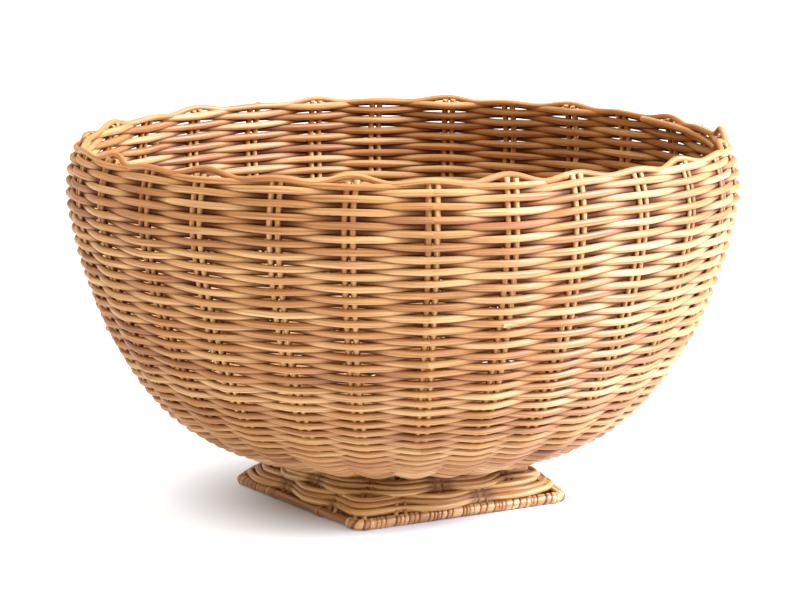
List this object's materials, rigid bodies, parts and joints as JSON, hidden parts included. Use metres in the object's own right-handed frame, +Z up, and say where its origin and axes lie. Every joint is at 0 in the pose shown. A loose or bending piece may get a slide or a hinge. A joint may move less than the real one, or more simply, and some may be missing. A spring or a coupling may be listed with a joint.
{
  "type": "wicker basket",
  "caption": "Round woven bowl basket: stake rods hold a plain woven wall with a wavy rim strand, on a woven skirt and a square cane-wrapped foot.",
  "frame": {"origin": "middle of the square foot, on the surface that the basket stands on", "axes": "+Z up through the bowl's mouth, +X and +Y square to the foot's rails, so that the foot's corners lie between them"},
  "size_m": [0.3494, 0.3494, 0.1928],
  "materials": {
    "weave_strand": "satin rattan core strand",
    "stake_rod": "satin rattan rod",
    "border_cane": "satin rattan strand",
    "skirt_strand": "satin rattan core strand",
    "rail_core": "satin bare rattan rod",
    "rail_binding": "glossy split cane binding"
  },
  "bodies": {
    "root": {"lower_weave": "weave_strand", "middle_weave": "weave_strand", "upper_weave": "weave_strand", "bowl_floor": "weave_strand", "stake_pair_01": "stake_rod", "stake_pair_02": "stake_rod", "stake_pair_03": "stake_rod", "stake_pair_04": "stake_rod", "stake_pair_05": "stake_rod", "stake_pair_06": "stake_rod", "stake_pair_07": "stake_rod", "stake_pair_08": "stake_rod", "stake_pair_09": "stake_rod", "stake_pair_10": "stake_rod", "stake_pair_11": "stake_rod", "stake_pair_12": "stake_rod", "stake_pair_13": "stake_rod", "stake_pair_14": "stake_rod", "stake_pair_15": "stake_rod", "stake_pair_16": "stake_rod", "stake_pair_17": "stake_rod", "stake_pair_18": "stake_rod", "stake_pair_19": "stake_rod", "stake_pair_20": "stake_rod", "stake_pair_21": "stake_rod", "stake_pair_22": "stake_rod", "stake_pair_23": "stake_rod", "stake_pair_24": "stake_rod", "stake_pair_25": "stake_rod", "stake_pair_26": "stake_rod", "stake_pair_27": "stake_rod", "stake_pair_28": "stake_rod", "foot_stake_01": "stake_rod", "foot_stake_02": "stake_rod", "foot_stake_03": "stake_rod", "foot_stake_04": "stake_rod", "foot_stake_05": "stake_rod", "foot_stake_06": "stake_rod", "foot_stake_07": "stake_rod", "foot_stake_08": "stake_rod", "foot_stake_09": "stake_rod", "foot_stake_10": "stake_rod", "foot_stake_11": "stake_rod", "foot_stake_12": "stake_rod", "foot_stake_13": "stake_rod", "foot_stake_14": "stake_rod", "foot_stake_15": "stake_rod", "foot_stake_16": "stake_rod", "border_strand": "border_cane", "foot_skirt": "skirt_strand", "foot_rail_right": "rail_binding", "foot_rail_back": "rail_binding", "foot_rail_left": "rail_core", "foot_rail_front": "rail_binding", "corner_binding_back_right": "rail_binding", "corner_binding_back_left": "rail_binding", "corner_binding_front_left": "rail_binding", "corner_binding_front_right": "rail_binding"}
  },
  "joints": []
}
